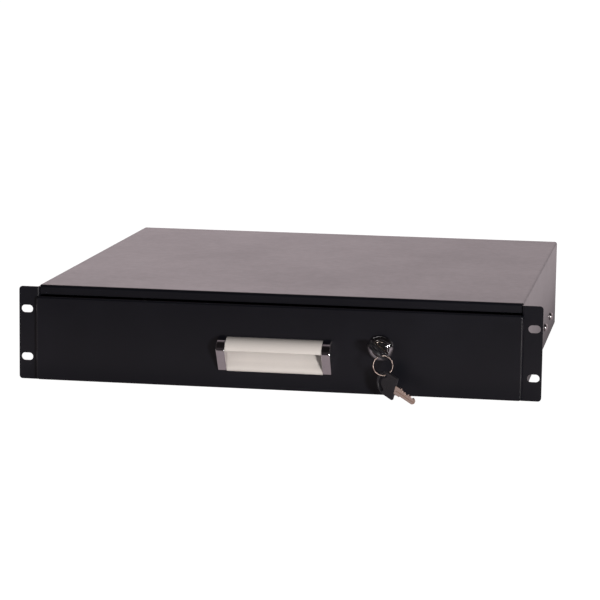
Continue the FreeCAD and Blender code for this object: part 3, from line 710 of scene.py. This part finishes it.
screw_head_height = 2.6
screw_shank_radius = 2.0
screw_pitch = 0.7
screw_thread_depth = 0.3
screw_point = 0.5
screw_plain = 1.2
screw_sides = 48
# Widths and heights of the head's dome, as shares of its radius and height
head_dome = ((1, 0.35), (0.93, 0.68), (0.78, 0.9))


def solid_boxes(node):
    """Boxes of a node's separate solids, in millimetres."""
    shape = bmesh.new()
    shape.from_mesh(nodes[node].data)
    bmesh.ops.remove_doubles(shape, verts=shape.verts, dist=1e-7)
    left = set(shape.verts)
    boxes = []
    while left:
        group, edge = [], [left.pop()]
        while edge:
            vert = edge.pop()
            group.append(vert.co / MM)
            for link in vert.link_edges:
                other = link.other_vert(vert)
                if other in left:
                    left.remove(other)
                    edge.append(other)
        boxes.append([Vector([f(point[k] for point in group) for k in range(3)]) for f in (min, max)])
    shape.free()
    return boxes


def cross_recess(reach, half):
    """Radius of a cross-shaped recess at an angle from one of its arms."""
    def radius_at(angle):
        from_arm = abs((angle + math.pi / 4) % (math.pi / 2) - math.pi / 4)
        return min(reach, half / max(math.sin(from_arm), 1e-6))
    return radius_at


def screw_rings(tip, crown, head_height, head_radius, shank_radius):
    """Pan-head screw with a cross recess, from its tip to the crown of its head."""
    axis = (crown - tip).normalized()
    side = axis.orthogonal().normalized()
    other = axis.cross(side)
    length = (crown - tip).length
    seat = length - head_height
    rows = [(circle(shank_radius * 0.7), 0.0), (circle(shank_radius), screw_point)]
    for i in range(int((seat - screw_plain) / screw_pitch)):
        rows += [(circle(shank_radius - screw_thread_depth), screw_point + (i + 0.5) * screw_pitch),
                 (circle(shank_radius), screw_point + (i + 1) * screw_pitch)]
    rows += [(circle(shank_radius), seat), (circle(head_radius - 0.15), seat)]
    rows.append((circle(head_radius), seat + 0.2))
    rows += [(circle(head_radius * width), seat + head_height * height) for width, height in head_dome]
    rows += [(circle(head_radius * 0.6), length), (cross_recess(head_radius * 0.5, 0.5), length),
             (cross_recess(head_radius * 0.34, 0.3), length - 1.3)]
    rings = []
    for radius_at, along_axis in rows:
        ring = []
        for i in range(screw_sides):
            angle = 2 * math.pi * (i + 0.5) / screw_sides
            out = side * math.cos(angle) + other * math.sin(angle)
            ring.append(tip + axis * along_axis + out * radius_at(angle))
        rings.append(ring)
    return rings


def make_screws(name, node, body, axis, outward):
    """One screw for each solid of the node; outward tells which end the head is at."""
    shapes = []
    for low, high in solid_boxes(node):
        middle = (low + high) / 2
        way = outward(middle)
        tip, crown = middle.copy(), middle.copy()
        tip[axis], crown[axis] = (low[axis], high[axis]) if way > 0 else (high[axis], low[axis])
        head_radius = max((high - low)[k] for k in range(3) if k != axis) / 2
        shapes.append(skin(screw_rings(tip, crown, screw_head_height, head_radius, screw_shank_radius)))
    add_piece(name, joined(shapes), "screw_zinc", body, node, 0.0, 35.0)


make_screws("side_screws", "housing_screws", "housing", 0, lambda middle: middle.x)
make_screws("slide_screws", "tray_screws", "drawer", 0, lambda middle: -middle.x)
make_screws("grip_screws", "handle_screws", "drawer", 1, lambda middle: 1)
make_screws("cam_fastener", "cam_screw", "plug", 1, lambda middle: 1)


# Studio

def math_node(tree, operation, a, b):
    node = tree.nodes.new("ShaderNodeMath")
    node.operation = operation
    for socket, value in zip(node.inputs, (a, b)):
        if isinstance(value, (int, float)):
            socket.default_value = value
        else:
            tree.links.new(value, socket)
    return node.outputs[0]


def multiply(tree, a, b):
    return math_node(tree, "MULTIPLY", a, b)


def add(tree, a, b):
    return math_node(tree, "ADD", a, b)


def map_range(tree, source, low, high, first, last):
    node = tree.nodes.new("ShaderNodeMapRange")
    node.interpolation_type = "SMOOTHSTEP"
    for name, value in (("From Min", low), ("From Max", high), ("To Min", first), ("To Max", last)):
        node.inputs[name].default_value = value
    tree.links.new(source, node.inputs["Value"])
    return node.outputs[0]


def stage_plane(name, points, shader_maker):
    mesh = bpy.data.meshes.new(name)
    mesh.from_pydata(points, [], [tuple(range(len(points)))])
    plane = bpy.data.objects.new(name, mesh)
    bpy.context.scene.collection.objects.link(plane)
    plane.data.materials.append(shader_maker(name))
    return plane


def floor_shader(name):
    """Paper, white to the camera; to gloss a painted reflection, darker far ahead, with painted shadow under
    the front edge and close to the sides, and bright further beside.
    """
    material = bpy.data.materials.new(name)
    material.use_nodes = True
    tree = material.node_tree
    tree.nodes.clear()
    out = tree.nodes.new("ShaderNodeOutputMaterial")
    diffuse = tree.nodes.new("ShaderNodeBsdfDiffuse")
    # Painted reflection: a mauve glow that only gloss sees, its strength shaped below into painted shadow
    # near the object.
    painted_reflection = tree.nodes.new("ShaderNodeEmission")
    painted_reflection.inputs["Color"].default_value = (1.0, 0.86, 0.9, 1)
    path = tree.nodes.new("ShaderNodeLightPath")
    coord = tree.nodes.new("ShaderNodeTexCoord")
    split = tree.nodes.new("ShaderNodeSeparateXYZ")
    tree.links.new(coord.outputs["Object"], split.inputs[0])
    # To gloss the paper's own colour is nearly black, so gloss sees mostly the painted reflection.
    paper = tree.nodes.new("ShaderNodeMix")
    paper.data_type = "RGBA"
    paper.inputs[6].default_value = (0.8, 0.79, 0.795, 1)
    paper.inputs[7].default_value = (0.04, 0.036, 0.038, 1)
    tree.links.new(path.outputs["Is Glossy Ray"], paper.inputs[0])
    tree.links.new(paper.outputs[2], diffuse.inputs["Color"])
    # Painted shadow in the reflection: dimmer under the front edge and close beside the sides.
    ahead = map_range(tree, split.outputs["Y"], -0.6, -0.13, paper_far, paper_near)
    painted_edge_shadow = map_range(tree, split.outputs["Y"], -0.11, -0.03, 1.0, paper_painted_shadow)
    off_middle = math_node(tree, "ABSOLUTE", split.outputs["X"], 0.0)
    painted_side_shadow = map_range(tree, off_middle, 0.222, 0.31, paper_beside * 0.1, paper_beside)
    past_front = map_range(tree, split.outputs["Y"], -0.2, 0.02, 0.0, 1.0)
    depth = add(tree, multiply(tree, ahead, painted_edge_shadow), multiply(tree, painted_side_shadow, past_front))
    tree.links.new(multiply(tree, path.outputs["Is Glossy Ray"], depth), painted_reflection.inputs["Strength"])
    white = tree.nodes.new("ShaderNodeEmission")
    white.inputs["Color"].default_value = (1.0, 1.0, 1.0, 1)
    tree.links.new(multiply(tree, path.outputs["Is Camera Ray"], floor_glow), white.inputs["Strength"])
    mirrored = tree.nodes.new("ShaderNodeAddShader")
    tree.links.new(diffuse.outputs[0], mirrored.inputs[0])
    tree.links.new(painted_reflection.outputs[0], mirrored.inputs[1])
    both = tree.nodes.new("ShaderNodeAddShader")
    tree.links.new(mirrored.outputs[0], both.inputs[0])
    tree.links.new(white.outputs[0], both.inputs[1])
    tree.links.new(both.outputs[0], out.inputs[0])
    return material


floor_glow = 0.95
# Levels of the floor's painted reflection: far ahead, near the front, in the painted shadow under the front
# edge, and beside the object.
paper_far = 0.1
paper_near = 0.62
paper_painted_shadow = 0.42
paper_beside = 0.74
floor_reach = 40.0
floor_z = cad_box[0].z
floor_signs = ((-1, -1), (1, -1), (1, 1), (-1, 1))
stage_plane("floor", [(x * floor_reach, y * floor_reach, floor_z) for x, y in floor_signs], floor_shader)


def studio_world():
    """White to the camera; weak light to matt surfaces; to gloss a dark room with a bright backdrop."""
    world = bpy.data.worlds.new("studio")
    bpy.context.scene.world = world
    world.use_nodes = True
    tree = world.node_tree
    tree.nodes.clear()
    out = tree.nodes.new("ShaderNodeOutputWorld")
    coord = tree.nodes.new("ShaderNodeTexCoord")
    split = tree.nodes.new("ShaderNodeSeparateXYZ")
    tree.links.new(coord.outputs["Generated"], split.inputs[0])
    room = tree.nodes.new("ShaderNodeBackground")
    room.inputs["Color"].default_value = (1.0, 0.85, 0.89, 1)
    backdrop = map_range(tree, split.outputs["Y"], -0.1, 0.45, room_dark, room_bright)
    rise = map_range(tree, split.outputs["Z"], 0.12, 0.17, 0.7, 1.5)
    aside = map_range(tree, split.outputs["X"], -0.22, -0.05, 1.0, 0.86)
    fall = map_range(tree, split.outputs["Z"], 0.3, 0.6, 1.0, 0.26)
    strength = multiply(tree, multiply(tree, backdrop, rise), multiply(tree, fall, aside))
    tree.links.new(strength, room.inputs["Strength"])
    even = tree.nodes.new("ShaderNodeBackground")
    even.inputs["Color"].default_value = (1.0, 0.98, 0.98, 1)
    tree.links.new(map_range(tree, split.outputs["Z"], 0.05, 0.85, even_light, even_light * 0.5),
                   even.inputs["Strength"])
    white = tree.nodes.new("ShaderNodeBackground")
    white.inputs["Color"].default_value = (1.0, 1.0, 1.0, 1)
    path = tree.nodes.new("ShaderNodeLightPath")
    first = tree.nodes.new("ShaderNodeMixShader")
    tree.links.new(path.outputs["Is Glossy Ray"], first.inputs[0])
    tree.links.new(even.outputs[0], first.inputs[1])
    tree.links.new(room.outputs[0], first.inputs[2])
    last = tree.nodes.new("ShaderNodeMixShader")
    tree.links.new(path.outputs["Is Camera Ray"], last.inputs[0])
    tree.links.new(first.outputs[0], last.inputs[1])
    tree.links.new(white.outputs[0], last.inputs[2])
    tree.links.new(last.outputs[0], out.inputs[0])


room_dark = 0.03
room_bright = 1.05
even_light = 0.2
studio_world()


def softbox(name, place, target, size, watts, colour=(1, 1, 1)):
    data = bpy.data.lights.new(name, "AREA")
    data.shape = "RECTANGLE"
    data.size, data.size_y = size
    data.energy = watts
    data.color = colour
    lamp = bpy.data.objects.new(name, data)
    bpy.context.scene.collection.objects.link(lamp)
    lamp.location = place
    lamp.rotation_euler = (Vector(target) - Vector(place)).to_track_quat("-Z", "Y").to_euler()


softbox("key_light", (1.3, -1.95, 0.12), (0, 0, 0), (0.3, 0.3), 40, (1.0, 0.96, 0.94))
softbox("fill_light", (-1.5, -1.7, 0.15), (0, 0, 0), (0.4, 0.3), 2, (1.0, 0.97, 0.95))


# Camera, solved from the photograph's own perspective

camera_yaw = 0.1669
camera_pitch = 0.1568
camera_roll = 0.0134
camera_place = (0.3955, -2.2241, 0.3965)
camera_lens = 152.16


def make_camera():
    cy, sy = math.cos(camera_yaw), math.sin(camera_yaw)
    cp, sp = math.cos(camera_pitch), math.sin(camera_pitch)
    forward = Vector((-sy * cp, cy * cp, -sp))
    right = Vector((cy, sy, 0))
    up = right.cross(forward)
    cr, sr = math.cos(camera_roll), math.sin(camera_roll)
    across = right * cr + up * sr
    upright = up * cr - right * sr
    data = bpy.data.cameras.new("camera")
    data.sensor_width = 36.0
    data.lens = camera_lens
    data.clip_start = 0.05
    data.clip_end = 200.0
    camera = bpy.data.objects.new("camera", data)
    bpy.context.scene.collection.objects.link(camera)
    turn = Matrix((across, upright, -forward)).transposed().to_4x4()
    camera.matrix_world = Matrix.Translation(camera_place) @ turn
    bpy.context.scene.camera = camera


make_camera()
bpy.context.scene.view_settings.view_transform = "Standard"
